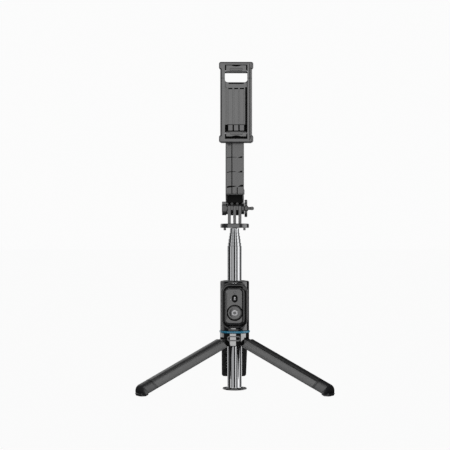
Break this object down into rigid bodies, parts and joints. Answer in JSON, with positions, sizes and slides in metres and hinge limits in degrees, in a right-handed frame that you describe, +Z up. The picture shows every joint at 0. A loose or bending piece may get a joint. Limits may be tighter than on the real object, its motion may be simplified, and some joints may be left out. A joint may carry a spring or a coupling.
{
  "type": "selfie stick",
  "caption": "Telescopic selfie stick with folding tripod legs, tilting sprung phone clamp and a removable remote in its handle.",
  "frame": {"origin": "on the pole's axis, on the underside of the foot disc's pad, which is the surface that the stand rests on", "axes": "+Z up along the pole; -Y is the front, where the phone and the remote's buttons are; +X is the side with the wing screw"},
  "size_m": [0.1926, 0.1708, 0.3239],
  "materials": {
    "satin_grey_plastic": "fine moulded texture, satin",
    "black_plastic": "satin black",
    "gloss_black_plastic": "polished black",
    "chrome": "polished plating",
    "steel": "plain",
    "rubber": "matt",
    "blue_accent": "satin blue",
    "circuit_board": "solder mask",
    "clear_lens": "clear"
  },
  "bodies": {
    "handle": {"handle_front_shell": "black_plastic", "handle_rear_shell": "black_plastic", "handle_screw_left": "steel", "handle_screw_right": "steel", "handle_top_bush": "black_plastic", "accent_ring": "blue_accent", "leg_hub": "gloss_black_plastic", "leg_pin_left": "steel", "leg_pin_right": "steel", "leg_pin_back": "steel"},
    "leg_left_body": {"leg_left": "satin_grey_plastic", "leg_foot_left": "rubber"},
    "leg_right_body": {"leg_right": "satin_grey_plastic", "leg_foot_right": "rubber"},
    "leg_back_body": {"leg_back": "satin_grey_plastic", "leg_foot_back": "rubber"},
    "remote": {"remote_front_shell": "satin_grey_plastic", "remote_back_shell": "black_plastic", "remote_circuit_board": "circuit_board", "remote_coin_cell": "steel", "remote_led_lens": "clear_lens", "shutter_dome_switch": "steel"},
    "shutter_key": {"shutter_button": "satin_grey_plastic"},
    "mode_key": {"mode_button": "black_plastic"},
    "pole_tube": {"outer_tube": "chrome", "foot_disc": "black_plastic", "foot_disc_pad": "rubber"},
    "pole_1": {"pole_section_1": "chrome", "stop_ring_1": "rubber"},
    "pole_2": {"pole_section_2": "chrome", "stop_ring_2": "rubber"},
    "pole_3": {"pole_section_3": "chrome", "stop_ring_3": "rubber"},
    "pole_4": {"pole_section_4": "chrome", "stop_ring_4": "rubber"},
    "pole_5": {"pole_section_5": "chrome", "stop_ring_5": "rubber", "pole_top_plug": "black_plastic"},
    "pan_body": {"pan_head": "satin_grey_plastic", "tilt_nut_knob": "black_plastic", "tilt_washer": "black_plastic"},
    "tilt_screw_body": {"tilt_screw": "black_plastic"},
    "arm": {"clamp_arm": "satin_grey_plastic", "swivel_washer": "rubber"},
    "clamp": {"clamp_base": "satin_grey_plastic", "clamp_back_cover": "satin_grey_plastic", "cover_screw_left": "steel", "cover_screw_right": "steel", "guide_rod_left": "steel", "guide_rod_right": "steel", "swivel_screw": "steel", "lower_claw_pin": "steel", "clamp_spring_left": "steel", "clamp_spring_right": "steel"},
    "clamp_head": {"clamp_slider": "satin_grey_plastic", "upper_claw_pin": "steel"},
    "upper_jaw": {"upper_claw": "satin_grey_plastic", "upper_claw_pad": "rubber"},
    "lower_jaw": {"lower_claw": "satin_grey_plastic", "lower_claw_pad": "rubber"}
  },
  "joints": [
    {"name": "leg_left_fold", "type": "hinge", "parent": "handle", "child": "leg_left_body", "pos_m": [-0.00883, -0.0051, 0.0497], "axis": [0.5, -0.866, 0], "range_deg": [0, 65]},
    {"name": "leg_right_fold", "type": "hinge", "parent": "handle", "child": "leg_right_body", "pos_m": [0.00883, -0.0051, 0.0497], "axis": [0.5, 0.866, 0], "range_deg": [0, 65]},
    {"name": "leg_back_fold", "type": "hinge", "parent": "handle", "child": "leg_back_body", "pos_m": [0, 0.0102, 0.0497], "axis": [-1, 0, 0], "range_deg": [0, 65]},
    {"name": "pole_slide", "type": "slide", "parent": "handle", "child": "pole_tube", "axis": [0, 0, 1], "range_m": [-0.035, 0.034]},
    {"name": "section_1_slide", "type": "slide", "parent": "pole_tube", "child": "pole_1", "axis": [0, 0, 1], "range_m": [-0.0029, 0.095]},
    {"name": "section_2_slide", "type": "slide", "parent": "pole_1", "child": "pole_2", "axis": [0, 0, 1], "range_m": [-0.0034, 0.095]},
    {"name": "section_3_slide", "type": "slide", "parent": "pole_2", "child": "pole_3", "axis": [0, 0, 1], "range_m": [-0.0027, 0.095]},
    {"name": "section_4_slide", "type": "slide", "parent": "pole_3", "child": "pole_4", "axis": [0, 0, 1], "range_m": [-0.0027, 0.095]},
    {"name": "section_5_slide", "type": "slide", "parent": "pole_4", "child": "pole_5", "axis": [0, 0, 1], "range_m": [-0.0046, 0.095]},
    {"name": "pan", "type": "hinge", "parent": "pole_5", "child": "pan_body", "pos_m": [0, 0, 0.1615], "axis": [0, 0, 1], "continuous": true},
    {"name": "tilt", "type": "hinge", "parent": "pan_body", "child": "arm", "pos_m": [0, 0, 0.181], "axis": [1, 0, 0], "range_deg": [-135, 55]},
    {"name": "tilt_screw_turn", "type": "hinge", "parent": "pan_body", "child": "tilt_screw_body", "pos_m": [0.011, 0, 0.181], "axis": [1, 0, 0], "continuous": true},
    {"name": "clamp_swivel", "type": "hinge", "parent": "arm", "child": "clamp", "pos_m": [0, -0.0228, 0.2843], "axis": [0, 1, 0], "range_deg": [-90, 90]},
    {"name": "clamp_open", "type": "slide", "parent": "clamp", "child": "clamp_head", "axis": [0, 0, 1], "range_m": [0, 0.034], "stiffness_N_per_m": 150, "springref_m": -0.02, "deforming": ["clamp_spring_left", "clamp_spring_right"]},
    {"name": "upper_claw_flip", "type": "hinge", "parent": "clamp_head", "child": "upper_jaw", "pos_m": [0.0013, -0.0312, 0.3151], "axis": [1, 0, 0], "range_deg": [0, 90]},
    {"name": "lower_claw_flip", "type": "hinge", "parent": "clamp", "child": "lower_jaw", "pos_m": [0.0013, -0.0312, 0.2542], "axis": [-1, 0, 0], "range_deg": [0, 90]},
    {"name": "remote_pull_out", "type": "slide", "parent": "handle", "child": "remote", "axis": [0, -1, 0], "range_m": [0, 0.02]},
    {"name": "shutter_press", "type": "slide", "parent": "remote", "child": "shutter_key", "axis": [0, 1, 0], "range_m": [0, 0.0004], "stiffness_N_per_m": 1200, "springref_m": -0.0004},
    {"name": "mode_press", "type": "slide", "parent": "remote", "child": "mode_key", "axis": [0, 1, 0], "range_m": [0, 0.0004], "stiffness_N_per_m": 1200, "springref_m": -0.0004}
  ]
}
